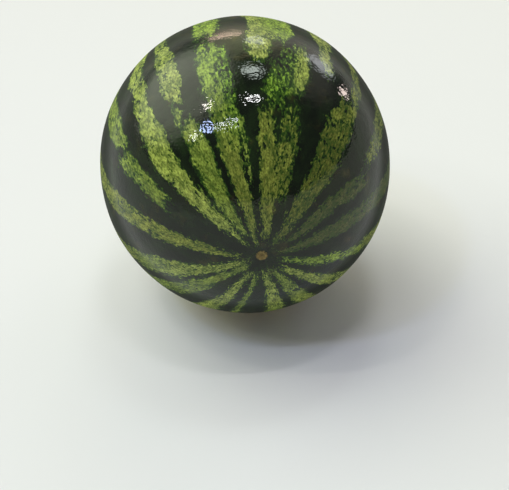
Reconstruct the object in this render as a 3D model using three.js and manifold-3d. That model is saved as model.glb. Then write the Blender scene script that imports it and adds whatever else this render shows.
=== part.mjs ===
// A whole round watermelon lying on its side, with the dry stub of its stem.
//
// Millimetres, +Z up. The fruit's axis of growth runs along Y: the blossom end faces -Y and the stem end +Y.
// The origin is the middle of the small flat spot that the fruit rests on.

import * as THREE from 'three';
import { mergeVertices } from 'three/addons/utils/BufferGeometryUtils.js';
import Module from 'manifold-3d';

const wasm = await Module();
wasm.setup();

// Driving dimensions of the fruit.
const FRUIT_DIAMETER = 260; // across the fruit, square to its axis of growth
const FRUIT_LENGTH = 278; // of the spheroid along that axis, before the dimples at its ends
const REST_SPOT_WIDTH = 39; // of the flat spot, across the fruit
const STEM_DIMPLE_DEPTH = 5; // of the hollow that the stem grows from
const STEM_DIMPLE_RADIUS = 17; // where that hollow has faded to about a third
const BLOSSOM_DIMPLE_DEPTH = 1.6; // of the hollow round the blossom scar
const BLOSSOM_DIMPLE_RADIUS = 10; // where that hollow has faded to about a third

// Driving dimensions of the stem stub.
const STEM_DIAMETER = 9; // between the ribs and the grooves
const STEM_RIBS = 5; // the ribs of the vine run on along the stub
const STEM_RIB_HEIGHT = 0.5; // of a rib above that diameter
const STEM_LENGTH = 27; // from the floor of the hollow to the cut
const STEM_RISE = 4.5; // of the middle of the cut above the fruit's axis
const STEM_FOOT_DIAMETER = 19; // where the stub widens into the rind
const STEM_FOOT_HEIGHT = 8; // over which it widens
const STEM_FOOT_EDGE = 0.9; // thickness of the foot at its rim
const SEAT_GAP = 0.3; // between the foot and the rind

// Fineness of the surfaces.
const FRUIT_SIDES = 60; // round the axis; a multiple of four reaches the full width and height
const FRUIT_STEPS = 34; // from end to end; even, so that one ring is the widest
const POLE_CROWDING = 0.55; // 0 spaces the rings evenly, and near 1 they crowd at the ends
const FOOT_SIDES = 30; // round the foot
const FOOT_STEPS = 5; // along each side of the foot's outline
const RIB_SIDES = 6; // per rib
const STUB_STEPS = 8; // along the stub

const FRUIT_RADIUS = FRUIT_DIAMETER / 2;
const HALF_LENGTH = FRUIT_LENGTH / 2;
const AXIS_HEIGHT = Math.sqrt(FRUIT_RADIUS ** 2 - (REST_SPOT_WIDTH / 2) ** 2);
const STEM_RADIUS = STEM_DIAMETER / 2;
const FOOT_RADIUS = STEM_FOOT_DIAMETER / 2;

// How far a dimple sinks the surface at a distance from the axis: a bell curve, deepest on the axis.
function dimple(depth, radius, distance) {
  return depth * Math.exp(-((distance / radius) ** 2));
}

// Where the stem end's surface lies along the axis, at a distance from the axis.
function stemEnd(distance) {
  const spheroid = HALF_LENGTH * Math.sqrt(1 - (distance / FRUIT_RADIUS) ** 2);
  return spheroid - dimple(STEM_DIMPLE_DEPTH, STEM_DIMPLE_RADIUS, distance);
}

// Where the blossom end's surface lies along the axis, at a distance from the axis.
function blossomEnd(distance) {
  const spheroid = -HALF_LENGTH * Math.sqrt(1 - (distance / FRUIT_RADIUS) ** 2);
  return spheroid + dimple(BLOSSOM_DIMPLE_DEPTH, BLOSSOM_DIMPLE_RADIUS, distance);
}

// A closed solid from a geometry, with shared corners merged and triangles of no width left out.
function solidOf(geometry) {
  const bare = geometry.clone();
  bare.deleteAttribute('normal');
  bare.deleteAttribute('uv');
  const merged = mergeVertices(bare, 1e-4);
  const corners = merged.index.array;
  const kept = [];
  for (let i = 0; i < corners.length; i += 3) {
    const [a, b, c] = corners.slice(i, i + 3);
    if (a !== b && b !== c && c !== a) {
      kept.push(a, b, c);
    }
  }
  return new wasm.Manifold(new wasm.Mesh({
    numProp: 3,
    vertProperties: new Float32Array(merged.attributes.position.array),
    triVerts: new Uint32Array(kept),
  }));
}

// A geometry with flat facets from a closed solid.
function geometryOf(solid) {
  const mesh = solid.getMesh();
  const indexed = new THREE.BufferGeometry();
  indexed.setAttribute('position', new THREE.BufferAttribute(mesh.vertProperties, 3));
  indexed.setIndex(new THREE.BufferAttribute(mesh.triVerts, 1));
  const faceted = indexed.toNonIndexed();
  faceted.computeVertexNormals();
  return faceted;
}

// The fruit: a spheroid turned about its axis, with a dimple at each end, cut flat where it rests.
function makeFruit() {
  const outline = [];
  for (let i = 0; i <= FRUIT_STEPS; i += 1) {
    const share = i / FRUIT_STEPS;
    const angle = Math.PI * share - (POLE_CROWDING / 2) * Math.sin(2 * Math.PI * share);
    const onAxis = i === 0 || i === FRUIT_STEPS;
    const distance = onAxis ? 0 : FRUIT_RADIUS * Math.sin(angle);
    outline.push(new THREE.Vector2(distance, share < 0.5 ? blossomEnd(distance) : stemEnd(distance)));
  }
  const turned = solidOf(new THREE.LatheGeometry(outline, FRUIT_SIDES));
  const under = new THREE.BoxGeometry(FRUIT_DIAMETER, FRUIT_LENGTH, FRUIT_DIAMETER);
  under.translate(0, 0, -AXIS_HEIGHT - FRUIT_RADIUS);
  return geometryOf(turned.subtract(solidOf(under)));
}

// The stem stub: a ribbed stalk that bends upward, on a foot that widens to follow the hollow's floor.
function makeStem() {
  const floor = stemEnd(0) + SEAT_GAP;
  const underside = [];
  const flare = [];
  for (let i = 0; i <= FOOT_STEPS; i += 1) {
    const share = i / FOOT_STEPS;
    const distance = FOOT_RADIUS * share;
    underside.push(new THREE.Vector2(distance, stemEnd(distance) + SEAT_GAP));
    const rim = stemEnd(FOOT_RADIUS) + SEAT_GAP + STEM_FOOT_EDGE;
    const height = THREE.MathUtils.lerp(rim, floor + STEM_FOOT_HEIGHT, share);
    flare.push(new THREE.Vector2(STEM_RADIUS + (FOOT_RADIUS - STEM_RADIUS) * (1 - share) ** 2, height));
  }
  const top = new THREE.Vector2(0, floor + STEM_FOOT_HEIGHT);
  const foot = new THREE.LatheGeometry([...underside, ...flare, top], FOOT_SIDES);

  const section = [];
  const sides = STEM_RIBS * RIB_SIDES;
  for (let i = 0; i < sides; i += 1) {
    const angle = (2 * Math.PI * i) / sides;
    const radius = STEM_RADIUS + STEM_RIB_HEIGHT * Math.cos(STEM_RIBS * angle);
    section.push(new THREE.Vector2(radius * Math.cos(angle), radius * Math.sin(angle)));
  }
  const start = floor + STEM_FOOT_HEIGHT / 2;
  const end = stemEnd(0) + STEM_LENGTH;
  const path = new THREE.QuadraticBezierCurve3(
    new THREE.Vector3(0, start, 0),
    new THREE.Vector3(0, (start + end) / 2, 0),
    new THREE.Vector3(0, end, STEM_RISE),
  );
  const stalk = new THREE.ExtrudeGeometry(new THREE.Shape(section), {
    steps: STUB_STEPS,
    bevelEnabled: false,
    extrudePath: path,
  });
  return geometryOf(solidOf(foot).add(solidOf(stalk)));
}

// The waxy green rind, whose light and dark stripes average to this green.
const rind = new THREE.MeshStandardMaterial({ color: 0x3f5a24, roughness: 0.35, metalness: 0 });
// The dried stem, a dull straw brown with some green left.
const driedStem = new THREE.MeshStandardMaterial({ color: 0x8a7a4a, roughness: 0.85, metalness: 0 });

const fruit = new THREE.Mesh(makeFruit(), rind);
fruit.name = 'fruit';

const stem = new THREE.Mesh(makeStem(), driedStem);
stem.name = 'stem';

// Both are turned about the fruit's axis, which lies this high above the surface it rests on.
const onItsAxis = new THREE.Group();
onItsAxis.position.z = AXIS_HEIGHT;
onItsAxis.add(fruit, stem);

const watermelon = new THREE.Group();
watermelon.add(onItsAxis);

export default watermelon;
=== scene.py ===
"""A whole round watermelon with the dry stub of its stem, lying on a pale floor under soft studio light.

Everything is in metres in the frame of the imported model: +Z up, the fruit's axis of growth along Y with the
blossom end towards -Y, and the origin in the middle of the flat spot that the fruit rests on.

Places on the rind are given as on a globe. Longitude runs round the axis of growth, 0 on top and 90 at +X.
Colatitude runs from 0 at the blossom end to 180 at the stem end. Both are in degrees.
"""

import logging
import math
from dataclasses import dataclass, field
from enum import Enum
from typing import Any

import bpy
import numpy as np
from mathutils import Matrix, Vector


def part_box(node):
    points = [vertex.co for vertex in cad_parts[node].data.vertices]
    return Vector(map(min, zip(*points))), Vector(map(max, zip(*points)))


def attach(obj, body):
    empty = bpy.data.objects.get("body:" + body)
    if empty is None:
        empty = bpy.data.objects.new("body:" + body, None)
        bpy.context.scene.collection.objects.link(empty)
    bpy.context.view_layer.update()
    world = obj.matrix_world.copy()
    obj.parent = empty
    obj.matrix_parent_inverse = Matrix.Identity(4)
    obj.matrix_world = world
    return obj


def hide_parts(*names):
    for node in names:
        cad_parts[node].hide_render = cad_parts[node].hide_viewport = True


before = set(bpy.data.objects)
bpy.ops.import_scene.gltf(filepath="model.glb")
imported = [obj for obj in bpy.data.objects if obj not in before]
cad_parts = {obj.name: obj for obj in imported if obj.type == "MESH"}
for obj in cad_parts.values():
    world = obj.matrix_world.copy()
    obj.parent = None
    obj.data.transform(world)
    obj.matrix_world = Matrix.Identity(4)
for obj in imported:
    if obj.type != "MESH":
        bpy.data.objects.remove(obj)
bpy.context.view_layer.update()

MM = 0.001
CUT_SLANT = 1.0 * MM  # how much further the stem's slanted cut reaches at its edge than in its middle
FACTOR, COLOUR_A, COLOUR_B = 0, 6, 7  # the inputs of a Mix node for colours, by number
log = logging.getLogger("watermelon")

Array = np.ndarray
Point = tuple[float, float, float]
Span = tuple[float, float]
Waves = tuple[Point, ...]


def linear(hex_colour: str) -> tuple[float, float, float, float]:
    """Turns an sRGB hex colour into linear light.

    Args:
        hex_colour: Six hex digits after a hash sign.

    Returns:
        Red, green, blue and an alpha of 1.
    """
    shown = [int(hex_colour[i : i + 2], 16) / 255 for i in (1, 3, 5)]
    red, green, blue = (c / 12.92 if c <= 0.04045 else ((c + 0.055) / 1.055) ** 2.4 for c in shown)
    return red, green, blue, 1.0


def per_metre(grain: float) -> float:
    """Turns the width of a pattern's features in millimetres into the pattern's scale in metres."""
    return 1.0 / (grain * MM)


def add(tree: bpy.types.NodeTree, kind: str, values: dict[str | int, Any], **settings: Any) -> bpy.types.Node:
    """Adds one node.

    Args:
        tree: The material's or the world's node tree.
        kind: Blender's name for the kind of node.
        values: What goes into each input, by name or number: a node, one of its outputs, or a plain value. A
            node stands for its first output that is in use.
        settings: The node's own properties.

    Returns:
        The new node.
    """
    made = tree.nodes.new(kind)
    for name, setting in settings.items():
        setattr(made, name, setting)
    for key, value in values.items():
        if isinstance(value, bpy.types.Node):
            value = next(output for output in value.outputs if output.enabled)
        if isinstance(value, bpy.types.NodeSocket):
            tree.links.new(value, made.inputs[key])
        else:
            made.inputs[key].default_value = value
    return made


def smooth_step(value: Array, start: float, end: float) -> Array:
    """Rises from 0 at the start to 1 at the end along 3x^2 - 2x^3. The end may be the lower of the two."""
    share = np.clip((value - start) / (end - start), 0.0, 1.0)
    return share * share * (3.0 - 2.0 * share)


def bell(value: Array, middle: float, width: float | Array) -> Array:
    """Falls from 1 at the middle along e to minus the square of the way from there over the width."""
    return np.exp(-(((value - middle) / width) ** 2))


def ripple(turn: Array, waves: Waves, way: float | Array = 1.0) -> Array:
    """Adds up waves round a ring.

    Args:
        turn: The angle round the ring, in radians.
        waves: How often each wave goes up and down, how high it is, and its turn in radians per way.
        way: How far along the ring lies.

    Returns:
        The sum of each height times the cosine of its count times the angle plus its turn.
    """
    return sum(height * np.cos(count * turn + twist * way) for count, height, twist in waves)


def ring_quads(rings: int, around: int) -> list[list[int]]:
    """Lists the four-sided faces between neighbouring rings.

    Args:
        rings: How many rings there are.
        around: How many points each ring has.

    Returns:
        Four point numbers a face, of points that are numbered ring by ring.
    """
    number = np.arange(rings * around).reshape(rings, around)
    onward = np.roll(number, -1, axis=1)
    return np.stack([number[:-1], onward[:-1], onward[1:], number[1:]], axis=-1).reshape(-1, 4).tolist()


def make_object(name: str, points: Array, faces: list[list[int]]) -> bpy.types.Object:
    """Makes an object at the origin from points and faces.

    Args:
        name: The object's name.
        points: One row of three per point.
        faces: The point numbers of each face.

    Returns:
        The new object, linked to the scene, with smooth shading.
    """
    mesh = bpy.data.meshes.new(name)
    mesh.from_pydata(points.tolist(), [], faces)
    mesh.polygons.foreach_set("use_smooth", np.ones(len(mesh.polygons), dtype=bool))
    mesh.update()
    made = bpy.data.objects.new(name, mesh)
    bpy.context.scene.collection.objects.link(made)
    return made


def make_piece(name: str, rows: Array, first: Array, last: Array) -> bpy.types.Object:
    """Makes a closed piece from rings of points between two poles.

    Neighbouring rings are joined by four-sided faces and each pole by a fan of three-sided ones. Faces point
    outward when the points run round the axis from up to +X and the rings run along +Y.

    Args:
        name: The piece's name.
        rows: Points of each ring, as rings by points round by 3.
        first: The pole before the first ring.
        last: The pole after the last ring.

    Returns:
        The new object.
    """
    rings, around, _ = rows.shape
    points = np.concatenate([rows.reshape(-1, 3), first[None], last[None]])
    start = np.arange(around)
    end = start + (rings - 1) * around
    pole = np.full(around, rings * around)
    start_fan = np.stack([pole, np.roll(start, -1), start], axis=-1)
    end_fan = np.stack([pole + 1, end, np.roll(end, -1)], axis=-1)
    return make_object(name, points, ring_quads(rings, around) + start_fan.tolist() + end_fan.tolist())


def put_attribute(piece: bpy.types.Object, name: str, values: Array) -> None:
    """Stores one value per point for the material to read.

    Args:
        piece: The object whose mesh gets them.
        name: The attribute's name.
        values: One number, 3-vector or 4-part linear colour per point, poles last.
    """
    kind, slot = {
        1: ("FLOAT", "value"),
        3: ("FLOAT_VECTOR", "vector"),
        4: ("FLOAT_COLOR", "color"),
    }[1 if values.ndim == 1 else values.shape[1]]
    attribute = piece.data.attributes.new(name, kind, "POINT")
    attribute.data.foreach_set(slot, values.astype(np.float32).ravel())


def with_poles(rows: Array) -> Array:
    """Lays ring values out per point, and gives each pole the mean of its nearest ring.

    Args:
        rows: Values as rings by points round, with or without a last axis of parts.

    Returns:
        Values in the order of the mesh's points.
    """
    flat = rows.reshape(-1, *rows.shape[2:])
    return np.concatenate([flat, rows[0].mean(axis=0)[None], rows[-1].mean(axis=0)[None]])


class Leaf(Enum):
    """The greens that the light bands come in, each as the rind's colour in even light, but for the dimmest
    olive, which is darkened by painted shade for the right flank.
    """

    PALE = "#8f994c"
    YELLOW_GREEN = "#8c9945"
    FRESH = "#829a37"
    GRASS = "#739530"
    MOSS = "#748534"
    OLIVE = "#757d33"
    DEEP_OLIVE = "#62682a"
    # Painted shade: this olive is darkened because the right flank lies away from the light.
    PAINTED_SHADE_OLIVE = "#4a5026"


@dataclass(frozen=True)
class Patch:
    """One light patch of a band: its left and right edge over colatitude, in degrees.

    Args:
        leaf: Its green.
        edges: Colatitude, left longitude and right longitude at each place where an edge turns.
        flecks: How thickly dark flecks stand in it. From 1 up they break it into specks.
        halo: How far its mid-green fringe reaches into the dark, in millimetres.
    """

    leaf: Leaf
    edges: tuple[Point, ...]
    flecks: float
    halo: float = 1.2

    def depth(self, longitude: Array, colatitude: Array, radius: float, flow: float) -> Array:
        """How deep each place lies inside the patch, negative outside.

        The depth is the lesser of the way to the nearer side edge, along the ring, and the way to the nearer
        end, along the meridian. The second is divided by flow, so that ends fray into longer tongues.

        Args:
            longitude: Of each place, in degrees.
            colatitude: Of each place, in degrees.
            radius: The fruit's radius in millimetres.
            flow: How much longer features are along the meridian than round the fruit.

        Returns:
            Depth in millimetres.
        """
        at, left, right = np.array(self.edges).T
        centre = (np.interp(colatitude, at, left) + np.interp(colatitude, at, right)) / 2
        half = (np.interp(colatitude, at, right) - np.interp(colatitude, at, left)) / 2
        off = np.abs((longitude - centre + 180.0) % 360.0 - 180.0)
        per_degree = math.radians(1.0) * radius
        sideways = (half - off) * per_degree * np.sin(np.radians(colatitude))
        endways = np.minimum(colatitude - at[0], at[-1] - colatitude) * per_degree / flow
        return np.minimum(sideways, endways)


# The light patches of the side that is seen first, from the left flank over the top to the right flank.
SHOWN_PATCHES: tuple[Patch, ...] = (
    Patch(Leaf.OLIVE, ((9, -91, -83), (20, -87, -78), (40, -89, -79), (70, -89, -80), (100, -86, -79)), 0.6),
    Patch(Leaf.MOSS, ((40, -68, -60), (55, -67, -60), (64, -69, -61)), 0.6, 2.0),
    Patch(Leaf.MOSS, ((67, -62, -58), (72, -65, -58), (80, -66, -57), (96, -65, -58)), 0.5, 1.8),
    Patch(
        Leaf.YELLOW_GREEN,
        ((8, -47, -42), (18, -52, -41), (30, -52, -42), (48, -54, -42.5), (57, -52, -40)),
        0.45,
    ),
    Patch(Leaf.YELLOW_GREEN, ((55, -52.4, -40.2), (60, -51.6, -40.8), (66, -50, -42.4), (76, -49, -42)), 0.5),
    Patch(Leaf.YELLOW_GREEN, ((74, -48.5, -42), (80, -47, -40.6), (88, -49.4, -41.5), (98, -48, -42)), 0.5),
    Patch(
        Leaf.MOSS,
        ((11, -33, -28), (19, -38.5, -28), (28, -37, -26), (42, -35.6, -24), (48, -34, -25)),
        0.35,
        2.4,
    ),
    Patch(Leaf.YELLOW_GREEN, ((46, -34, -25), (51, -34, -25.4), (54.5, -33, -27)), 0.6, 2.0),
    Patch(Leaf.MOSS, ((55, -34, -32), (59, -34, -30.5), (62.5, -33, -31.5)), 0.8, 2.5),
    Patch(
        Leaf.PALE,
        ((63, -31, -29), (67, -34.5, -28), (73, -35.6, -26.4), (79, -34.5, -27), (84, -34, -27.5)),
        0.6,
    ),
    Patch(Leaf.YELLOW_GREEN, ((82, -35.4, -28), (90, -35.4, -28), (100, -35, -31)), 0.5, 1.6),
    Patch(
        Leaf.OLIVE,
        ((7, -23, -14), (18, -20, -8), (30, -19.6, -9.8), (38, -19.8, -10), (46, -20, -9)),
        0.45,
        1.2,
    ),
    Patch(Leaf.YELLOW_GREEN, ((28, -7.4, -5.8), (38, -7.2, -5.6), (48, -8, -6)), 0.4, 1.4),
    Patch(Leaf.MOSS, ((43, -19.8, -8), (51, -19, -10), (60, -19.2, -11), (66, -19.4, -11)), 0.7, 2.2),
    Patch(Leaf.GRASS, ((44, -12, -6.4), (52, -12, -7.6), (66, -13, -7.8), (80, -13, -8.6)), 1.25, 2.8),
    Patch(Leaf.FRESH, ((62, -19.6, -11.4), (72, -19.6, -9.8), (78, -19, -10), (84, -18, -12)), 0.75, 2.4),
    Patch(Leaf.FRESH, ((91, -18.6, -11), (97, -18.8, -9), (108, -18.6, -9)), 0.5, 1.8),
    Patch(
        Leaf.OLIVE,
        ((8, 3, 16), (18, -0.5, 13), (28, 1, 12), (36, 0.8, 12), (44, 1, 9), (52, 1.4, 7)),
        0.55,
        1.0,
    ),
    Patch(
        Leaf.OLIVE,
        ((24, 9, 20.6), (30, 10, 21), (38, 11, 20.6), (45, 12, 20), (51.5, 14, 18.6)),
        0.9,
        2.4,
    ),
    Patch(Leaf.GRASS, ((56, 8, 12), (60, 4.4, 16.4), (64, 7, 16.6), (68.5, 9, 14.5)), 1.15, 4.0),
    Patch(Leaf.YELLOW_GREEN, ((61.5, 16, 20), (67, 17, 22.8), (75, 17.6, 23.2), (82, 18, 22)), 0.6, 3.4),
    Patch(Leaf.GRASS, ((71, 13, 17), (75, 12.6, 18), (79, 13.5, 17.5)), 1.3, 3.0),
    Patch(Leaf.PALE, ((72.5, 2, 5.4), (76, 0, 8), (82, -0.4, 9), (90, 1.4, 9)), 0.5, 2.6),
    Patch(Leaf.FRESH, ((86, 3, 16), (92, 3.6, 18.7), (100, 4, 19), (112, 5, 18)), 0.45, 2.4),
    Patch(
        Leaf.DEEP_OLIVE,
        ((7, 37, 46), (18, 31, 44.6), (30, 33, 46.4), (40, 33, 47.4), (52, 33.4, 46.6)),
        0.8,
        1.6,
    ),
    Patch(Leaf.OLIVE, ((50, 33.6, 46.8), (57, 34.6, 46.4), (61, 37, 45.4), (66, 39.5, 43.4)), 0.7, 1.8),
    Patch(Leaf.OLIVE, ((60, 43, 46.4), (68, 43.6, 47.6), (78, 44, 48.4), (92, 44, 47.6)), 0.75, 1.8),
    Patch(Leaf.PALE, ((74, 30.6, 33.6), (80, 28.4, 33.6), (88, 29, 33.6), (98, 29, 35)), 0.65, 2.0),
    # Painted shade: these right-flank patches take the olive darkened for shade.
    Patch(
        Leaf.PAINTED_SHADE_OLIVE,
        ((12, 58, 64), (21, 54, 66), (32, 56, 64.6), (40, 60, 69), (47, 63.6, 70)),
        0.7,
        1.6,
    ),
    Patch(Leaf.OLIVE, ((54, 61, 65), (60, 60.6, 66.6), (72, 59.4, 66.6), (98, 60, 68)), 0.7, 1.6),
    # Painted shade: this right-flank patch takes the olive darkened for shade.
    Patch(Leaf.PAINTED_SHADE_OLIVE, ((8, 79, 84), (20, 74, 87), (45, 78, 86), (62, 79, 87.6), (96, 80, 89)), 0.7, 1.6),
)


@dataclass
class StripeLayout:
    """Where the light bands lie on the rind.

    The side that is seen first is set patch by patch. The rest goes on in the same manner: bands about as far
    apart and as wide, each a chain of patches whose edges waver, broken now and then by dark.

    Reaches and depths are in millimetres, and places, steps and widths on the rind in degrees. A pair holds
    the least and the most of a random draw.
    """

    radius: float
    edge_reach: float
    flow: float = 3.0
    mottle_reach: float = 6.0  # of the fine noise where there are no flecks
    fleck_reach: float = 9.0  # by which thick flecks lengthen that reach
    cap: float = 2.9  # the greatest depth that is kept where there are no flecks
    fleck_cap: float = 2.3  # by which thick flecks lower it
    blend: float = 2.5  # the depth over which one patch passes into the next
    outside: float = -60.0  # the depth of a place far from every patch
    seed: int = 11
    turn: float = 20.0  # from band to band on the far side
    scatter: float = 1.4  # of those bands' middles
    drift: float = 1.0  # of a band's middle where it carries on from the side seen first
    half_width: Span = (3.8, 6.0)
    least_half: float = 3.4  # of a band that carries on
    knots: tuple[int, int] = (2, 6)  # in a patch after its first, the second number not included
    knot_step: float = 9.0
    step_share: Span = (0.7, 1.3)
    waver: float = 1.1  # of each edge from knot to knot
    pull: float = 0.35
    overlap: float = 6.0
    break_chance: float = 0.25
    break_length: Span = (1.0, 4.0)
    flecks: Span = (0.4, 0.7)
    fresh_flecks: float = 0.25  # more in a fresh green patch
    halo: Span = (1.4, 2.6)
    blossom_end: float = 7.0
    blossom_spread: Span = (-1.0, 3.0)
    stem_end: float = 170.0
    seen_to: float = 88.0
    seen_edges: Span = (-89.0, 88.0)
    common: tuple[Leaf, ...] = (Leaf.YELLOW_GREEN, Leaf.MOSS, Leaf.OLIVE, Leaf.PALE, Leaf.FRESH)
    common_share: tuple[float, ...] = (0.36, 0.24, 0.2, 0.1, 0.1)

    def chain(
        self, rng: np.random.Generator, first: Point, centre: float, half: float, leaf: Leaf
    ) -> list[Patch]:
        """Grows one band towards the stem end as a chain of patches.

        From knot to knot each edge takes a random step, and is pulled back by a share of its way from where
        the band's middle and width would have it.

        Args:
            rng: The source of its irregularity.
            first: The first knot: colatitude, left longitude and right longitude.
            centre: The band's middle longitude, in degrees.
            half: Half its width, in degrees.
            leaf: The first patch's green.

        Returns:
            Its patches.
        """
        patches: list[Patch] = []
        at, left, right = first
        while at < self.stem_end - self.knot_step:
            edges = [(at, left, right)]
            for _ in range(int(rng.integers(*self.knots))):
                at = min(at + self.knot_step * float(rng.uniform(*self.step_share)), self.stem_end)
                left += self.pull * (centre - half - left) + float(rng.normal(0.0, self.waver))
                right += self.pull * (centre + half - right) + float(rng.normal(0.0, self.waver))
                edges.append((at, left, right))
            flecks = float(rng.uniform(*self.flecks)) + (self.fresh_flecks if leaf is Leaf.FRESH else 0.0)
            patches.append(Patch(leaf, tuple(edges), flecks, float(rng.uniform(*self.halo))))
            broken = rng.random() < self.break_chance
            at += float(rng.uniform(*self.break_length)) if broken else -self.overlap
            leaf = self.common[int(rng.choice(len(self.common), p=self.common_share))]
        return patches

    def patches(self) -> list[Patch]:
        """Lists every light patch of the rind.

        Returns:
            The patches that are seen first, then those that carry on from them and those of the far side.
        """
        rng = np.random.default_rng(self.seed)
        found = list(SHOWN_PATCHES)
        for patch in SHOWN_PATCHES:
            end, left, right = patch.edges[-1]
            if end > self.seen_to:
                half = float(np.clip((right - left) / 2, self.least_half, self.half_width[1]))
                first = (end - self.overlap, left, right)
                centre = (left + right) / 2 + float(rng.normal(0.0, self.drift))
                found += self.chain(rng, first, centre, half, patch.leaf)
        left, right = self.seen_edges
        room = 360.0 - (right - left)
        count = round(room / self.turn)
        for i in range(1, count):
            centre = right + room * i / count + float(rng.normal(0.0, self.scatter))
            half = float(rng.uniform(*self.half_width))
            start = self.blossom_end + float(rng.uniform(*self.blossom_spread))
            leaf = self.common[int(rng.choice(len(self.common), p=self.common_share))]
            found += self.chain(rng, (start, centre - half, centre + half), centre, half, leaf)
        return found

    def fields(self, longitude: Array, colatitude: Array) -> dict[str, Array]:
        """Works out what the material reads about the bands.

        The depth is the greatest over all patches. The green, the flecks and the halo are means over the
        patches, each weighted by e to its depth over the blend, so that they pass softly into each other.

        Args:
            longitude: Of each point, in degrees, as rings by points round.
            colatitude: The same for colatitude.

        Returns:
            The arrays band, roughen, leaf and halo. Roughen is the reach of the fine noise in millimetres,
            greater where flecks are thick. Band is the depth, held to a cap that is lower where flecks are
            thick, less half the reach of both noises, because noise swings about a half.
        """
        patches = self.patches()
        depths = [
            np.maximum(patch.depth(longitude, colatitude, self.radius / MM, self.flow), self.outside)
            for patch in patches
        ]
        shares = [np.exp(depth / self.blend) for depth in depths]
        weight = sum(shares)
        greens = [np.array(linear(patch.leaf.value)) for patch in patches]
        leaf = sum(share[..., None] * green for share, green in zip(shares, greens))
        thick = sum(share * patch.flecks for share, patch in zip(shares, patches)) / weight
        roughen = self.mottle_reach + self.fleck_reach * thick
        cap = self.cap - self.fleck_cap * thick
        return {
            "band": np.minimum(np.maximum.reduce(depths), cap) - (self.edge_reach + roughen) / 2,
            "roughen": roughen,
            "leaf": leaf / weight[..., None],
            "halo": sum(share * patch.halo for share, patch in zip(shares, patches)) / weight,
        }


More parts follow.
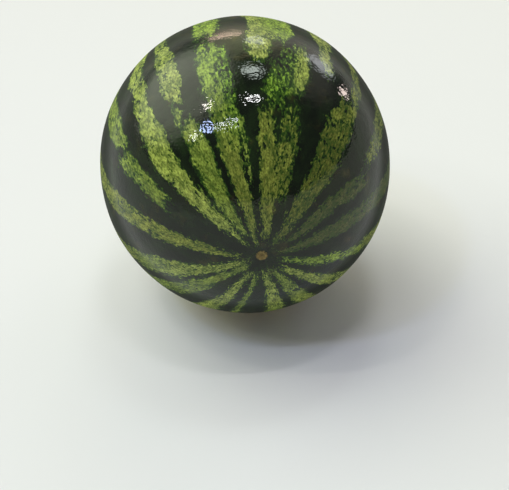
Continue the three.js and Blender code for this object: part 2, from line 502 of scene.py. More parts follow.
@dataclass(frozen=True)
class WaxyRind:
    """Fresh watermelon rind: smooth skin under a thin natural wax.

    Wax over wet plant tissue has an IOR near 1.4 and is polished by handling. It gives the eye small sharp
    highlights, which break into specks because the skin under it is finely uneven. The dark stripes are near
    black. The light bands have torn edges and a net of darker green, drawn out along the meridians.

    Grains are the widths of the patterns' features. Grains, reaches and depths are in millimetres. The noise
    that the patterns are read from lies about a half, nearly all of it between 0.3 and 0.7.
    """

    name: str = "waxy_watermelon_rind"
    dark: str = "#0f170b"
    dark_streak: str = "#1b2a12"
    halo: str = "#2c4a15"
    vein: str = "#36501a"
    ground_cream: str = "#d8c67c"
    ground_ochre: str = "#c2a04c"
    cork: str = "#857345"
    ior: float = 1.4
    roughness: float = 0.05
    rim_roughness: float = 0.75
    end_roughness: float = 0.35
    belly_roughness: float = 0.2
    cork_roughness: float = 0.4
    edge_grain: float = 7.5
    edge_reach: float = 8.0
    mottle_grain: float = 2.6
    cell_width: float = 3.6
    tone_grain: float = 6.5
    streak_grain: float = 13.0
    speckle_grain: float = 1.6
    soil_grain: float = 16.0
    soil_fray: float = 0.9
    crumb_grain: float = 1.6
    tongue_grain: float = 5.0
    tongue_fray: float = 0.9
    wax_grain: float = 14.0
    # The skin's finest unevenness, under a millimetre wide, is drawn this coarse so that it shows.
    pore_grain: float = 1.8
    swell_grain: float = 6.0
    swell_height: float = 1.8  # in heights of a pore
    cork_grain: float = 0.8
    cork_height: float = 8.0  # in heights of a pore
    relief_depth: float = 0.084

    def draw_bands(self, tree: bpy.types.NodeTree, grown: bpy.types.NodeSocket) -> tuple[bpy.types.Node, ...]:
        """Tears the bands' edges: their stored depth is pushed to and fro by coarse and fine noise.

        Args:
            tree: The material's node tree.
            grown: The growth vector.

        Returns:
            Where the light green shows, and where the mid-green fringe round it does, each from 0 to 1.
        """
        band, roughen, halo = (
            add(tree, "ShaderNodeAttribute", {}, attribute_name=name).outputs["Fac"]
            for name in ("band", "roughen", "halo")
        )
        coarse = add(
            tree,
            "ShaderNodeTexNoise",
            {"Vector": grown, "Scale": per_metre(self.edge_grain), "Detail": 3.0, "Roughness": 0.55},
        )
        fine = add(
            tree,
            "ShaderNodeTexNoise",
            {"Vector": grown, "Scale": per_metre(self.mottle_grain), "Detail": 2.0, "Roughness": 0.6},
        )
        pushed = add(
            tree, "ShaderNodeMath", {0: coarse, 1: self.edge_reach, 2: band}, operation="MULTIPLY_ADD"
        )
        depth = add(tree, "ShaderNodeMath", {0: fine, 1: roughen, 2: pushed}, operation="MULTIPLY_ADD")
        light = add(
            tree,
            "ShaderNodeMapRange",
            {"Value": depth, "From Min": -0.3, "From Max": 1.1},
            interpolation_type="SMOOTHSTEP",
        )
        outer = add(tree, "ShaderNodeMath", {0: halo, 1: -1.0}, operation="MULTIPLY")
        fringe = add(
            tree,
            "ShaderNodeMapRange",
            {"Value": depth, "From Min": outer, "From Max": 0.3},
            interpolation_type="SMOOTHSTEP",
        )
        return light, fringe

    def light_green(self, tree: bpy.types.NodeTree, grown: bpy.types.NodeSocket) -> bpy.types.Node:
        """Colours the light bands: the patch's own green, lighter and darker in places, under a net of veins.

        The veins run between cells. They show where the tone is dark, and more so where flecks are thick.

        Args:
            tree: The material's node tree.
            grown: The growth vector.

        Returns:
            The colour.
        """
        leaf = add(tree, "ShaderNodeAttribute", {}, attribute_name="leaf").outputs["Color"]
        roughen = add(tree, "ShaderNodeAttribute", {}, attribute_name="roughen").outputs["Fac"]
        tone, speckle = (
            add(tree, "ShaderNodeTexNoise", {"Vector": grown, "Scale": per_metre(grain), "Detail": detail})
            for grain, detail in ((self.tone_grain, 3.0), (self.speckle_grain, 2.0))
        )
        broad, narrow = (
            add(
                tree,
                "ShaderNodeMapRange",
                {"Value": noise, "From Min": 0.3, "From Max": 0.7, "To Min": darkest, "To Max": lightest},
            )
            for noise, darkest, lightest in ((tone, 0.76, 1.24), (speckle, 0.38, 1.66))
        )
        tint = add(tree, "ShaderNodeMath", {0: broad, 1: narrow}, operation="MULTIPLY")
        tinted = add(tree, "ShaderNodeVectorMath", {0: leaf, "Scale": tint}, operation="SCALE")
        cells = add(
            tree,
            "ShaderNodeTexVoronoi",
            {"Vector": grown, "Scale": per_metre(self.cell_width)},
            feature="DISTANCE_TO_EDGE",
        )
        net = add(
            tree,
            "ShaderNodeMapRange",
            {"Value": cells, "From Min": 0.28, "From Max": 0.04, "To Max": 0.95},
            interpolation_type="SMOOTHSTEP",
        )
        shady = add(tree, "ShaderNodeMapRange", {"Value": tone, "From Min": 0.62, "From Max": 0.4})
        flecked = add(
            tree,
            "ShaderNodeMapRange",
            {"Value": roughen, "From Min": 9.0, "From Max": 16.0, "To Min": 0.6, "To Max": 1.05},
        )
        strength = add(tree, "ShaderNodeMath", {0: shady, 1: flecked}, operation="MULTIPLY")
        veined = add(tree, "ShaderNodeMath", {0: net, 1: strength}, operation="MULTIPLY")
        return add(
            tree,
            "ShaderNodeMix",
            {FACTOR: veined, COLOUR_A: tinted, COLOUR_B: linear(self.vein)},
            data_type="RGBA",
        )

    def dark_green(
        self, tree: bpy.types.NodeTree, grown: bpy.types.NodeSocket, fringe: bpy.types.Node
    ) -> bpy.types.Node:
        """Colours the dark stripes: near black with faint streaks, and mid green beside a light band.

        Args:
            tree: The material's node tree.
            grown: The growth vector.
            fringe: Where the mid green shows.

        Returns:
            The colour.
        """
        drift = add(
            tree,
            "ShaderNodeTexNoise",
            {"Vector": grown, "Scale": per_metre(self.streak_grain), "Detail": 4.0},
        )
        streak = add(tree, "ShaderNodeMapRange", {"Value": drift, "From Min": 0.42, "From Max": 0.72})
        colour: Any = linear(self.dark)
        for share, next_colour in ((streak, self.dark_streak), (fringe, self.halo)):
            colour = add(
                tree,
                "ShaderNodeMix",
                {FACTOR: share, COLOUR_A: colour, COLOUR_B: linear(next_colour)},
                data_type="RGBA",
            )
        return colour

    def weather(
        self, tree: bpy.types.NodeTree, grown: bpy.types.NodeSocket, skin: bpy.types.Node
    ) -> tuple[bpy.types.Node, ...]:
        """Bleaches the belly that lay on the soil and turns the two ends to cork, in tongues along the grain.

        Args:
            tree: The material's node tree.
            grown: The growth vector.
            skin: The striped skin's colour.

        Returns:
            The colour, how bleached the skin is and how corky it is.
        """
        spot = add(tree, "ShaderNodeTexCoord", {}).outputs["Object"]
        ground, cork, cork_tone_and_painted_light = (
            add(tree, "ShaderNodeAttribute", {}, attribute_name=name).outputs["Fac"]
            for name in ("ground", "cork", "cork_tone_and_painted_light")
        )
        cloud, crumb, tongue = (
            add(tree, "ShaderNodeTexNoise", {"Vector": place, "Scale": per_metre(grain), "Detail": detail})
            for place, grain, detail in (
                (spot, self.soil_grain, 5.0),
                (spot, self.crumb_grain, 4.0),
                (grown, self.tongue_grain, 3.0),
            )
        )
        belly, edge = (
            add(tree, "ShaderNodeMath", {0: noise, 1: fray, 2: stored}, operation="MULTIPLY_ADD")
            for noise, fray, stored in ((cloud, self.soil_fray, ground), (tongue, self.tongue_fray, cork))
        )
        bleached, corked = (
            add(
                tree,
                "ShaderNodeMapRange",
                {"Value": value, "From Min": start, "From Max": full, "To Max": most},
                interpolation_type="SMOOTHSTEP",
            )
            for value, start, full, most in ((belly, 0.5, 1.45, 0.8), (edge, 1.16, 1.36, 0.94))
        )
        stain = add(tree, "ShaderNodeMath", {0: cloud, 1: crumb}, operation="MULTIPLY")
        ochred = add(tree, "ShaderNodeMapRange", {"Value": stain, "From Min": 0.18, "From Max": 0.34})
        soil_side = add(
            tree,
            "ShaderNodeMix",
            {FACTOR: ochred, COLOUR_A: linear(self.ground_cream), COLOUR_B: linear(self.ground_ochre)},
            data_type="RGBA",
        )
        shade = add(
            tree,
            "ShaderNodeMapRange",
            {"Value": crumb, "From Min": 0.3, "From Max": 0.7, "To Min": 0.6, "To Max": 1.25},
        )
        # The cork's tone holds the painted shade of the scar's pit and the painted highlight on its raised
        # rim.
        shaded = add(tree, "ShaderNodeMath", {0: shade, 1: cork_tone_and_painted_light}, operation="MULTIPLY")
        corky = add(
            tree, "ShaderNodeVectorMath", {0: linear(self.cork)[:3], "Scale": shaded}, operation="SCALE"
        )
        colour = skin
        for share, next_colour in ((bleached, soil_side), (corked, corky)):
            colour = add(
                tree,
                "ShaderNodeMix",
                {FACTOR: share, COLOUR_A: colour, COLOUR_B: next_colour},
                data_type="RGBA",
            )
        return colour, bleached, corked

    def relief(self, tree: bpy.types.NodeTree, corked: bpy.types.Node) -> bpy.types.Node:
        """Makes the skin finely uneven, by some hundredths of a millimetre, and the cork rough.

        Args:
            tree: The material's node tree.
            corked: How corky the skin is.

        Returns:
            The bump node.
        """
        spot = add(tree, "ShaderNodeTexCoord", {}).outputs["Object"]
        pores, swell, crumb = (
            add(tree, "ShaderNodeTexNoise", {"Vector": spot, "Scale": per_metre(grain), "Detail": detail})
            for grain, detail in ((self.pore_grain, 0.0), (self.swell_grain, 0.0), (self.cork_grain, 3.0))
        )
        crumbly = add(tree, "ShaderNodeMath", {0: crumb, 1: corked}, operation="MULTIPLY")
        height = pores
        for part, share in ((swell, self.swell_height), (crumbly, self.cork_height)):
            height = add(tree, "ShaderNodeMath", {0: part, 1: share, 2: height}, operation="MULTIPLY_ADD")
        depth = self.relief_depth * MM
        return add(tree, "ShaderNodeBump", {"Height": height, "Strength": 1.0, "Distance": depth})

    def gloss(
        self, tree: bpy.types.NodeTree, bleached: bpy.types.Node, corked: bpy.types.Node
    ) -> bpy.types.Node:
        """Dulls the wax a little in places, more on the belly and fully on the cork.

        At glancing angles the fine bloom scatters what the skin mirrors, so the rim is rough and stays dark.

        Args:
            tree: The material's node tree.
            bleached: How bleached the skin is.
            corked: How corky it is.

        Returns:
            The roughness.
        """
        spot = add(tree, "ShaderNodeTexCoord", {}).outputs["Object"]
        cork = add(tree, "ShaderNodeAttribute", {}, attribute_name="cork").outputs["Fac"]
        facing = add(tree, "ShaderNodeLayerWeight", {"Blend": 0.5}).outputs["Facing"]
        handled = add(
            tree, "ShaderNodeTexNoise", {"Vector": spot, "Scale": per_metre(self.wax_grain), "Detail": 3.0}
        )
        rough = add(
            tree,
            "ShaderNodeMapRange",
            {
                "Value": handled,
                "From Min": 0.3,
                "From Max": 0.7,
                "To Min": self.roughness - 0.01,
                "To Max": self.roughness + 0.03,
            },
        )
        glancing = add(
            tree,
            "ShaderNodeMapRange",
            {"Value": facing, "From Min": 0.5, "From Max": 0.8},
            interpolation_type="SMOOTHSTEP",
        )
        for share, more in (
            (cork, self.end_roughness),
            (bleached, self.belly_roughness),
            (corked, self.cork_roughness),
            (glancing, self.rim_roughness),
        ):
            rough = add(
                tree,
                "ShaderNodeMath",
                {0: share, 1: more, 2: rough},
                operation="MULTIPLY_ADD",
                use_clamp=True,
            )
        return rough

    def build(self) -> bpy.types.Material:
        """Builds the material.

        Returns:
            The rind's material, which reads the attributes that Melon.dress stores.
        """
        material = bpy.data.materials.new(self.name)
        material.use_nodes = True
        tree = material.node_tree
        tree.nodes.clear()
        grown = add(tree, "ShaderNodeAttribute", {}, attribute_name="growth").outputs["Vector"]
        light, fringe = self.draw_bands(tree, grown)
        dark_green = self.dark_green(tree, grown, fringe)
        light_green = self.light_green(tree, grown)
        striped = add(
            tree,
            "ShaderNodeMix",
            {FACTOR: light, COLOUR_A: dark_green, COLOUR_B: light_green},
            data_type="RGBA",
        )
        colour, bleached, corked = self.weather(tree, grown, striped)
        shader = add(
            tree,
            "ShaderNodeBsdfPrincipled",
            {
                "Base Color": colour,
                "Roughness": self.gloss(tree, bleached, corked),
                "Normal": self.relief(tree, corked),
                "IOR": self.ior,
            },
        )
        add(tree, "ShaderNodeOutputMaterial", {"Surface": shader})
        return material


@dataclass(frozen=True)
class DriedStem:
    """A dried stem: fibrous plant tissue, matt, with grooves along it.

    Dry cellulose has an IOR near 1.5 and a high roughness, so it gives the eye no highlight, only ribs,
    fibres and a paler cut. Grains and the relief's depth are in millimetres.
    """

    name: str = "dried_watermelon_stem"
    straw: str = "#8d7b49"
    brown: str = "#4e3d22"
    green: str = "#5d6530"
    pith: str = "#b39f6d"
    ior: float = 1.5
    roughness: float = 0.82
    # Single fibres are about 0.1 mm wide. They are drawn in bundles this wide so that they show.
    fibre_grain: float = 0.714
    blotch_grain: float = 3.85
    relief_depth: float = 0.25

    def build(self) -> bpy.types.Material:
        """Builds the material.

        Returns:
            The stem's material, which reads the attributes that StemStub.store stores.
        """
        material = bpy.data.materials.new(self.name)
        material.use_nodes = True
        tree = material.node_tree
        tree.nodes.clear()
        fibre = add(tree, "ShaderNodeAttribute", {}, attribute_name="fibre").outputs["Vector"]
        painted_groove_shade, cut = (
            add(tree, "ShaderNodeAttribute", {}, attribute_name=name).outputs["Fac"]
            for name in ("painted_groove_shade", "cut")
        )
        lines, blotch = (
            add(tree, "ShaderNodeTexNoise", {"Vector": fibre, "Scale": per_metre(grain), "Detail": detail})
            for grain, detail in ((self.fibre_grain, 4.0), (self.blotch_grain, 3.0))
        )
        bark = add(tree, "ShaderNodeMapRange", {"Value": lines, "From Min": 0.35, "From Max": 0.65})
        greener = add(
            tree, "ShaderNodeMapRange", {"Value": blotch, "From Min": 0.48, "From Max": 0.66, "To Max": 0.7}
        )
        colour: Any = linear(self.brown)
        # The grooves are darkened towards brown by painted shade; the cut is tinted paler.
        for share, next_colour in (
            (bark, self.straw),
            (greener, self.green),
            (painted_groove_shade, self.brown),
            (cut, self.pith),
        ):
            colour = add(
                tree,
                "ShaderNodeMix",
                {FACTOR: share, COLOUR_A: colour, COLOUR_B: linear(next_colour)},
                data_type="RGBA",
            )
        bump = add(
            tree, "ShaderNodeBump", {"Height": lines, "Strength": 0.8, "Distance": self.relief_depth * MM}
        )
        shader = add(
            tree,
            "ShaderNodeBsdfPrincipled",
            {"Base Color": colour, "Roughness": self.roughness, "IOR": self.ior, "Normal": bump},
        )
        add(tree, "ShaderNodeOutputMaterial", {"Surface": shader})
        return material


@dataclass
class Melon:
    """The whole fruit: a spheroid along Y with a dimple at each end, faintly uneven, flat where it rests.

    A dimple's pair is its depth and its width. The other pairs are where something begins and where it is
    full.
    """

    radius: float
    axis_height: float
    half_length: float = 139.0 * MM
    stem_dimple: Span = (5.0 * MM, 17.0 * MM)
    blossom_dimple: Span = (1.6 * MM, 10.0 * MM)
    lobes: int = 10
    lobe_height: float = 0.35 * MM
    lobe_bend: float = 0.6
    swell_height: float = 0.5 * MM
    swell_waves: tuple[tuple[int, int], ...] = ((1, 1), (2, 1), (2, 3), (3, 2), (5, 3), (6, 5))
    swell_seed: int = 5
    calm_ends: float = 1.5
    rest_softness: float = 0.35 * MM
    scar_radius: float = 3.3 * MM
    scar_rim: float = 0.5 * MM
    scar_width: float = 0.99 * MM
    scar_lumps: Waves = ((5, 0.25, 1.0), (11, 0.2, 0.0))
    around: int = 404
    rings: int = 234
    crowding: float = 0.55
    # Where the skin is bleached by the soil, in degrees from its lowest point, and corky, off the axis.
    ground_spot: Span = (50.0, 8.0)
    blossom_cork: Span = (9.0 * MM, 2.6 * MM)
    stem_cork: Span = (24.0 * MM, 8.5 * MM)
    # How light the cork is: at the stem end; at the blossom end darker in the scar's pit by painted shade and
    # lighter on its raised rim by a painted highlight.
    stem_tone: float = 0.8
    pit_painted_shade: float = 0.55
    pit_radius: float = 1.3 * MM
    rim_painted_highlight: float = 0.3
    rim_highlight_width: float = 0.9 * MM
    grain_flow: float = 1.7
    grain_spread: float = 0.4
    # The bake's map: its two strips meet at this longitude, in degrees, with this margin round each.
    strip_edge: float = 80.0
    strip_margin: float = 0.006
    finish: WaxyRind = field(default_factory=WaxyRind)

    def grid(self) -> tuple[Array, Array]:
        """Places the mesh's points on the globe.

        Rings stand a little closer together at the ends: the angle from the blossom end is pi times x less
        a share of sin(2 pi x).

        Returns:
            Longitude and the angle from the blossom end, in radians, as rings by points round.
        """
        longitude = np.arange(self.around) * 2 * np.pi / self.around
        share = np.arange(1, self.rings + 1) / (self.rings + 1)
        angle = np.pi * share - self.crowding / 2 * np.sin(2 * np.pi * share)
        shape = (self.rings, self.around)
        return np.broadcast_to(longitude, shape), np.broadcast_to(angle[:, None], shape)

    def along(self, distance: Array, side: Array) -> Array:
        """Where the skin lies along the axis, at a distance from it.

        It is the spheroid's half length times the root of one less the squared share of the radius, less a
        bell-shaped dimple of the given depth and width.

        Args:
            distance: From the axis, in metres.
            side: -1 towards the blossom end and 1 towards the stem end.

        Returns:
            The place along Y, in metres.
        """
        cap = self.half_length * np.sqrt(np.clip(1.0 - (distance / self.radius) ** 2, 0.0, 1.0))
        depth, width = (
            np.where(side > 0, at_stem, at_blossom)
            for at_stem, at_blossom in zip(self.stem_dimple, self.blossom_dimple)
        )
        return side * (cap - depth * bell(distance, 0.0, width))

    def scar(self, longitude: Array, distance: Array) -> Array:
        """The corky rim that the flower left: a bell-shaped ring about the axis, higher and lower round it.

        Args:
            longitude: In radians.
            distance: From the axis, in metres.

        Returns:
            How far it stands proud, in metres.
        """
        height = self.scar_rim * (1.0 + ripple(longitude, self.scar_lumps))
        return height * bell(distance, self.scar_radius, self.scar_width)

    def relief(self, longitude: Array, angle: Array) -> Array:
        """The skin's faint unevenness: shallow lobes along the meridians and a few broad swellings.

        The lobes are half of one less a cosine that goes round. Each swelling is a cosine round times one
        along, over the sum of their counts. Both fade towards the ends with a power of the angle's sine.

        Args:
            longitude: In radians.
            angle: From the blossom end, in radians.

        Returns:
            How far the skin is sunk towards the axis, in metres, never negative.
        """
        lobes = 0.5 - 0.5 * np.cos(self.lobes * longitude + self.lobe_bend * np.cos(angle))
        rng = np.random.default_rng(self.swell_seed)
        swell = np.zeros(angle.shape)
        for turns, waves in self.swell_waves:
            phase = rng.uniform(0.0, 2 * np.pi, 2)
            swell += np.cos(turns * longitude + phase[0]) * np.cos(waves * angle + phase[1]) / (turns + waves)
        sunk = self.lobe_height * lobes + self.swell_height * (1.0 - swell) / 2
        return sunk * np.sin(angle) ** self.calm_ends

    def rest(self, height: Array) -> Array:
        """Lifts what would lie below the floor, along half of z plus the root of z^2 and a softness^2."""
        return (height + np.sqrt(height**2 + self.rest_softness**2)) / 2

    def build(self) -> bpy.types.Object:
        """Builds the fruit's mesh.

        A point lies at the spheroid's radius times the sine of its angle from the axis, less the relief.

        Returns:
            The fruit.
        """
        longitude, angle = self.grid()
        distance = self.radius * np.sin(angle)
        side = np.where(angle < np.pi / 2, -1.0, 1.0)
        out = distance - self.relief(longitude, angle)
        rows = np.stack(
            [
                out * np.sin(longitude),
                self.along(distance, side) - np.where(side < 0, self.scar(longitude, distance), 0.0),
                self.rest(out * np.cos(longitude) + self.axis_height),
            ],
            axis=-1,
        )
        ends = self.along(np.zeros(2), np.array([-1.0, 1.0]))
        first, last = (np.array([0.0, y, self.axis_height]) for y in ends)
        piece = make_piece("melon", rows, first, last)
        self.unwrap(piece)
        return piece

    def unwrap(self, piece: bpy.types.Object) -> None:
        """Lays the skin out on a square, in two strips of half the fruit each.

        Longitude runs across a strip and the way from end to end runs up it, so that the stripes' fine edges
        get the most room. Each face knows its own strip, and a pole's corner sits over its own face.

        Args:
            piece: The fruit.
        """
        columns = np.arange(self.around)
        quad_column = np.tile(columns, self.rings - 1)
        quad_row = np.repeat(np.arange(self.rings - 1), self.around)
        corner_column = quad_column[:, None] + np.array([0, 1, 1, 0])
        corner_row = quad_row[:, None] + np.array([0, 0, 1, 1]) + 1
        first_column = columns[:, None] + np.array([0.5, 1.0, 0.0])
        first_row = np.broadcast_to(np.array([0, 1, 1]), first_column.shape)
        last_column = columns[:, None] + np.array([0.5, 0.0, 1.0])
        last_row = self.rings + 1 - first_row
        column = np.concatenate([corner_column.ravel(), first_column.ravel(), last_column.ravel()])
        row = np.concatenate([corner_row.ravel(), first_row.ravel(), last_row.ravel()])
        owner = np.concatenate([np.repeat(quad_column, 4), np.repeat(columns, 3), np.repeat(columns, 3)])
        half = self.around // 2
        from_edge = (owner - round(self.around * self.strip_edge / 360)) % self.around
        across = from_edge % half + (column - owner)
        upper = from_edge >= half
        room = 1 - 2 * self.strip_margin
        angles = np.concatenate([[0.0], self.grid()[1][:, 0], [np.pi]])
        u = self.strip_margin + room * across / half
        v = (self.strip_margin + room * angles[row] / np.pi + upper) / 2
        layer = piece.data.uv_layers.new(name="OFBake")
        layer.uv.foreach_set("vector", np.stack([u, v], axis=-1).astype(np.float32).ravel())

    def dress(self, piece: bpy.types.Object) -> None:
        """Stores what the rind's material reads, and gives the fruit that material.

        The growth vector is a cylinder about the axis, as wide as the fruit, along which the way from the
        blossom end is shrunk by the grain's flow. Noise that is read there is drawn out along the meridians
        and has no seam.

        Args:
            piece: The fruit.
        """
        longitude, angle = self.grid()
        stripes = StripeLayout(self.radius, self.finish.edge_reach)
        fields = stripes.fields(np.degrees(longitude), np.degrees(angle))
        spread = self.radius * np.sin(angle) ** self.grain_spread
        way = angle * (self.radius + self.half_length) / 2 / self.grain_flow
        below = np.degrees(np.arccos(np.clip(-np.cos(longitude) * np.sin(angle), -1.0, 1.0)))
        off_axis = self.radius * np.sin(angle)
        at_blossom = angle < np.pi / 2
        # Painted shade in the scar's pit and a painted highlight on its raised rim, both carried in the
        # cork's tone.
        shade = self.pit_painted_shade * bell(off_axis, 0.0, self.pit_radius)
        painted_rim_highlight = self.rim_painted_highlight * bell(off_axis, self.scar_radius, self.rim_highlight_width)
        fields |= {
            "growth": np.stack([spread * np.cos(longitude), spread * np.sin(longitude), way], axis=-1),
            "ground": smooth_step(below, *self.ground_spot),
            "cork": np.where(
                at_blossom,
                smooth_step(off_axis, *self.blossom_cork),
                smooth_step(off_axis, *self.stem_cork),
            ),
            "cork_tone_and_painted_light": np.where(at_blossom, 1.0 - shade + painted_rim_highlight, self.stem_tone),
        }
        for name, values in fields.items():
            put_attribute(piece, name, with_poles(values))
        piece.data.materials.append(self.finish.build())


@dataclass
class StemStub:
    """The dry stub of the stem: a ribbed stalk that bends upward from a foot seated in the hollow.

    Heights of ribs and furrows are shares of the rib's height, and those of the foot's lobes of its radius.
    """

    melon: Melon
    start: Point
    length: float
    rise: float = 4.5 * MM
    radius: float = 4.5 * MM
    foot_radius: float = 9.5 * MM
    foot_height: float = 8.0 * MM
    foot_lobes: Waves = ((5, 0.05, 0.0), (3, 0.05, 1.0))
    foot_curve: float = 2.6
    foot_calm: float = 0.8  # the share of the ribs that fades on the foot
    ribs: int = 5
    rib_height: float = 0.5 * MM
    rib_twist: float = 0.5
    furrows: Waves = ((17, 0.25, -0.9), (31, 0.18, 1.7))
    furrow_height: float = 0.5
    cut_span: Span = (0.93, 0.06)  # of the radius, at the cut's first and last ring
    cut_cup: float = 0.5 * MM
    cut_rim: float = 0.35 * MM
    around: int = 120
    wall_rings: int = 77
    cut_rings: int = 13
    crowding: float = 1.3
    fibre_flow: float = 8.0
    # How strongly the grooves are darkened by painted shade and the cut is tinted paler, and where: from one
    # ridge height down to the other, and within a share of the cut's radius.
    groove_shade: float = 0.75
    groove_span: Span = (0.1, -1.1)
    cut_shade: float = 0.7
    cut_edge: float = 0.9
    finish: DriedStem = field(default_factory=DriedStem)

    def build(self) -> bpy.types.Object:
        """Builds the stub's mesh.

        The middle line is a parabola that rises with the square of the way along. The radius is the stalk's,
        plus the foot's flare, which fades with a power of the way, plus ribs and finer furrows. The last
        rings cross the cut, a shallow cup with a raised rim.

        Returns:
            The stub.
        """
        turn = np.arange(self.around) * 2 * np.pi / self.around
        wall = np.linspace(0.0, 1.0, self.wall_rings) ** self.crowding
        cut = np.linspace(*self.cut_span, self.cut_rings)
        way = np.concatenate([wall, np.ones(self.cut_rings)])[:, None]
        across = np.concatenate([np.ones(self.wall_rings), cut])[:, None]
        on_foot = np.clip(1.0 - way * self.length / self.foot_height, 0.0, 1.0)
        flare = on_foot**self.foot_curve
        ribbing = np.cos(self.ribs * turn + self.rib_twist * way) * (1.0 - self.foot_calm * flare)
        furrow = ripple(turn, self.furrows, way)
        foot = self.foot_radius * (1.0 + ripple(turn, self.foot_lobes))
        radius = self.radius + (foot - self.radius) * flare
        radius = (radius + self.rib_height * (ribbing + self.furrow_height * furrow)) * across
        tilt = np.arctan(2 * self.rise * way / self.length)
        cup = self.cut_cup * (1.0 - across) * (1.0 + np.cos(3 * turn)) - self.cut_rim * np.sin(np.pi * across)
        sunk = np.where(across < 1, cup, 0.0)
        x, y, z = self.start
        side = radius * np.sin(turn)
        upward = radius * np.cos(turn)
        line_y = y + self.length * way - sunk * np.cos(tilt)
        line_z = z + self.rise * way**2 - sunk * np.sin(tilt)
        rows = np.stack(
            [x + side, line_y - upward * np.sin(tilt), line_z + upward * np.cos(tilt)],
            axis=-1,
        )
        seat = self.melon.along(radius[:1], np.ones(1)) - self.melon.along(np.zeros(1), np.ones(1))
        rows[..., 1] += seat * on_foot
        piece = make_piece("stem_stub", rows, np.array(self.start), rows[-1].mean(axis=0))
        self.store(piece, turn, way, across, furrow + ribbing)
        return piece

    def store(
        self, piece: bpy.types.Object, turn: Array, way: Array, across: Array, ridge: Array
    ) -> None:
        """Stores the fibre direction, the painted shade in the grooves and the cut for the material.

        Args:
            piece: The stub.
            turn: Angle of each point round the stalk, in radians.
            way: Share of the length at each ring.
            across: Share of the radius at each ring, below 1 on the cut.
            ridge: How high each point stands, 1 on a rib and -1 in a groove.
        """
        fibre = (
            self.radius * np.cos(turn) * across,
            self.radius * np.sin(turn) * across,
            self.length * way / self.fibre_flow,
        )
        painted_groove_shade = self.groove_shade * smooth_step(ridge, *self.groove_span)
        cut = self.cut_shade * (across < self.cut_edge)
        put_attribute(piece, "fibre", with_poles(np.stack(np.broadcast_arrays(*fibre), axis=-1)))
        put_attribute(piece, "painted_groove_shade", with_poles(painted_groove_shade))
        put_attribute(piece, "cut", with_poles(np.broadcast_to(cut, ridge.shape)))

    def dress(self, piece: bpy.types.Object) -> None:
        """Gives the stub its material."""
        piece.data.materials.append(self.finish.build())


@dataclass(frozen=True)
class Lamp:
    """One small lamp, an ellipse whose width runs from side to side, facing the fruit.

    Args:
        name: Its name.
        azimuth: Round the vertical, in degrees, 0 in front of the fruit and 90 at its right.
        elevation: Above the horizon, in degrees.
        width: In metres.
        height: In metres.
        radiance: How bright it looks, in watts per square metre and steradian.
        colour: Of its light.
    """

    name: str
    azimuth: float
    elevation: float
    width: float
    height: float
    radiance: float
    colour: str = "#ffffff"


@dataclass(frozen=True)
class Glow:
    """One soft-edged bright part of the room, such as a large diffuser.

    Args:
        azimuth: Round the vertical, in degrees, 0 in front of the fruit and 90 at its right.
        elevation: Above the horizon, in degrees.
        core: How far from its middle it is at its brightest, in degrees.
        reach: Where it has faded away, in degrees.
        radiance: At its brightest, in watts per square metre and steradian.
        colour: Of its light.
    """

    azimuth: float
    elevation: float
    core: float
    reach: float
    radiance: float
    colour: str


def aim(azimuth: float, elevation: float) -> Vector:
    """The unit vector from the fruit towards an azimuth and an elevation in degrees."""
    a, e = math.radians(azimuth), math.radians(elevation)
    return Vector((math.sin(a) * math.cos(e), -math.cos(a) * math.cos(e), math.sin(e)))


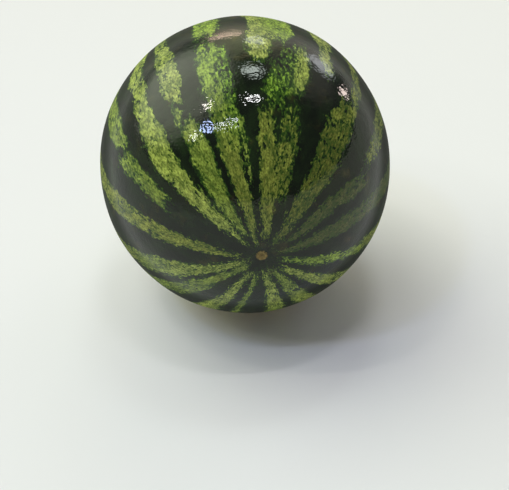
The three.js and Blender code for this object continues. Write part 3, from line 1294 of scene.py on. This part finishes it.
@dataclass
class Studio:
    """A pale floor, soft light mostly from above and behind the left shoulder, and the camera."""

    centre: Vector
    floor_flat: float = 3.0
    floor_reach: float = 9.0
    floor_rise: float = 1.8
    floor_inner: tuple[float, ...] = (0.2, 1.0, 2.0)
    floor_outer: int = 25
    floor_around: int = 96
    floor_colour: str = "#e5e5e9"
    ambient: float = 0.16
    ambient_colour: str = "#f2f5fa"
    camera_azimuth: float = -6.05
    camera_pitch: float = 36.2
    camera_reach: float = 0.903
    camera_lift: float = -0.0725
    camera_shift: float = 0.0087
    lens: float = 70.7
    sensor: float = 36.0
    lamp_distance: float = 3.0
    glows: tuple[Glow, ...] = (
        Glow(-122.0, 44.0, 13.0, 40.5, 3.0, "#f5fae2"),
        Glow(175.0, 38.0, 4.0, 22.0, 1.5, "#f6f6c4"),
        Glow(128.0, 45.0, 5.0, 25.0, 0.45, "#fff6e8"),
        Glow(137.0, 25.0, 1.0, 9.0, 3.4, "#f6faff"),
        Glow(150.0, 20.0, 4.0, 18.0, 0.8, "#fff4e6"),
    )
    lamps: tuple[Lamp, ...] = (
        Lamp("strip_overhead", 47.0, 84.7, 0.68, 0.05, 95.0),
        Lamp("strip_left", -42.0, 64.3, 0.9, 0.08, 34.0, "#f2f6ff"),
        Lamp("window_cool", -59.5, 55.7, 0.28, 0.32, 44.0, "#b9ccff"),
        Lamp("strip_low_left", -64.8, 46.3, 0.36, 0.11, 40.0),
        Lamp("strip_far_left", -88.0, 64.4, 0.38, 0.08, 58.0, "#fff6ee"),
        Lamp("diffuser_warm", -176.5, 29.8, 0.8, 0.26, 6.0, "#ffd9c4"),
        Lamp("diffuser_patch", 168.0, 39.0, 0.5, 0.5, 3.0),
        Lamp("diffuser_back", 162.0, 69.0, 0.78, 0.54, 5.0, "#eefaf0"),
        Lamp("diffuser_back_core", 162.0, 70.0, 0.56, 0.26, 7.0, "#f2fff6"),
        Lamp("lamp_right", 121.4, 18.2, 0.26, 0.4, 12.0, "#ffe9df"),
    )

    def build_floor(self) -> None:
        """Lays the floor, a matt pale sheet that is flat round the fruit and rises far away into a wall.

        Its height is the rise times the smooth step of the distance from the middle.
        """
        outer = np.linspace(self.floor_flat, self.floor_reach, self.floor_outer)
        distance = np.concatenate([self.floor_inner, outer])[:, None]
        turn = -np.arange(self.floor_around) * 2 * np.pi / self.floor_around
        height = self.floor_rise * smooth_step(distance, self.floor_flat, self.floor_reach)
        parts = (distance * np.cos(turn), distance * np.sin(turn), height)
        rows = np.stack(np.broadcast_arrays(*parts), axis=-1)
        middle = list(range(self.floor_around))[::-1]
        floor = make_object("floor", rows.reshape(-1, 3), [middle, *ring_quads(len(distance), len(turn))])
        material = bpy.data.materials.new("matt_pale_paper")
        material.use_nodes = True
        shader = material.node_tree.nodes["Principled BSDF"]
        shader.inputs["Base Color"].default_value = linear(self.floor_colour)
        shader.inputs["Roughness"].default_value = 0.9
        shader.inputs["Specular IOR Level"].default_value = 0.2
        floor.data.materials.append(material)

    def build_lamps(self) -> None:
        """Hangs the lamps.

        A lamp's axes are the unit vector towards it, the part of +X square to that vector, and their cross
        product. Its power is its radiance times pi and its area.
        """
        for lamp in self.lamps:
            light = bpy.data.lights.new(lamp.name, "AREA")
            light.shape = "ELLIPSE"
            light.size = lamp.width
            light.size_y = lamp.height
            light.energy = lamp.radiance * math.pi**2 * lamp.width * lamp.height / 4
            light.color = linear(lamp.colour)[:3]
            towards = aim(lamp.azimuth, lamp.elevation)
            across = (Vector((1.0, 0.0, 0.0)) - towards * towards.x).normalized()
            turned = Matrix((across, towards.cross(across), towards)).transposed().to_4x4()
            holder = bpy.data.objects.new(lamp.name, light)
            holder.matrix_world = Matrix.Translation(self.centre + towards * self.lamp_distance) @ turned
            bpy.context.scene.collection.objects.link(holder)

    def build_room(self) -> None:
        """Lights the room: an even dim background, plus each glow.

        A glow's brightness rises smoothly with the cosine between its middle and the direction looked in,
        from 0 at its reach to full at its core.
        """
        world = bpy.data.worlds.new("soft_room")
        world.use_nodes = True
        tree = world.node_tree
        tree.nodes.clear()
        looked = add(tree, "ShaderNodeTexCoord", {}).outputs["Generated"]
        dim = [self.ambient * part for part in linear(self.ambient_colour)[:3]]
        light = add(tree, "ShaderNodeCombineXYZ", dict(enumerate(dim)))
        for glow in self.glows:
            middle = aim(glow.azimuth, glow.elevation)
            cosine = add(tree, "ShaderNodeVectorMath", {0: looked, 1: middle}, operation="DOT_PRODUCT")
            share = add(
                tree,
                "ShaderNodeMapRange",
                {
                    "Value": cosine,
                    "From Min": math.cos(math.radians(glow.reach)),
                    "From Max": math.cos(math.radians(glow.core)),
                    "To Max": glow.radiance,
                },
                interpolation_type="SMOOTHSTEP",
            )
            colour = linear(glow.colour)[:3]
            glowing = add(tree, "ShaderNodeVectorMath", {0: colour, "Scale": share}, operation="SCALE")
            light = add(tree, "ShaderNodeVectorMath", {0: light, 1: glowing}, operation="ADD")
        sky = add(tree, "ShaderNodeBackground", {"Color": light})
        add(tree, "ShaderNodeOutputWorld", {"Surface": sky})
        bpy.context.scene.world = world

    def build_camera(self) -> None:
        """Places the camera by its own axes, so that the fruit stands where it should in the frame."""
        back = aim(self.camera_azimuth, self.camera_pitch)
        right = Vector((0.0, 0.0, 1.0)).cross(back).normalized()
        up = back.cross(right)
        place = self.centre + back * self.camera_reach + up * self.camera_lift + right * self.camera_shift
        camera = bpy.data.cameras.new("camera")
        camera.sensor_width = self.sensor
        camera.lens = self.lens
        holder = bpy.data.objects.new("camera", camera)
        axes = Matrix((right, up, back)).transposed().to_4x4()
        holder.matrix_world = Matrix.Translation(place) @ axes
        bpy.context.scene.collection.objects.link(holder)
        bpy.context.scene.camera = holder

    def build(self) -> None:
        """Builds the floor, the light and the camera, and shows colours as they are."""
        self.build_floor()
        self.build_lamps()
        self.build_room()
        self.build_camera()
        bpy.context.scene.view_settings.view_transform = "Standard"


def main() -> None:
    """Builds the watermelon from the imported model's boxes and sets it in the studio."""
    logging.basicConfig(level=logging.INFO, format="%(name)s: %(message)s")
    fruit_low, fruit_high = (Vector(corner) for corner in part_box("fruit"))
    radius = (fruit_high.x - fruit_low.x) / 2
    axis_height = fruit_high.z - radius
    melon = Melon(radius, axis_height)
    fruit = melon.build()
    melon.dress(fruit)
    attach(fruit, "root")
    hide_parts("fruit")
    log.info("%s: %d points", fruit.name, len(fruit.data.vertices))

    _, stem_high = (Vector(corner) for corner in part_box("stem"))
    hollow = float(melon.along(np.zeros(1), np.ones(1))[0])
    stub = StemStub(melon, start=(0.0, hollow, axis_height), length=stem_high.y - hollow - CUT_SLANT)
    stem = stub.build()
    stub.dress(stem)
    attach(stem, "root")
    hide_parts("stem")
    log.info("%s: %d points", stem.name, len(stem.data.vertices))

    Studio(Vector((0.0, 0.0, axis_height))).build()


if __name__ == "__main__":
    main()
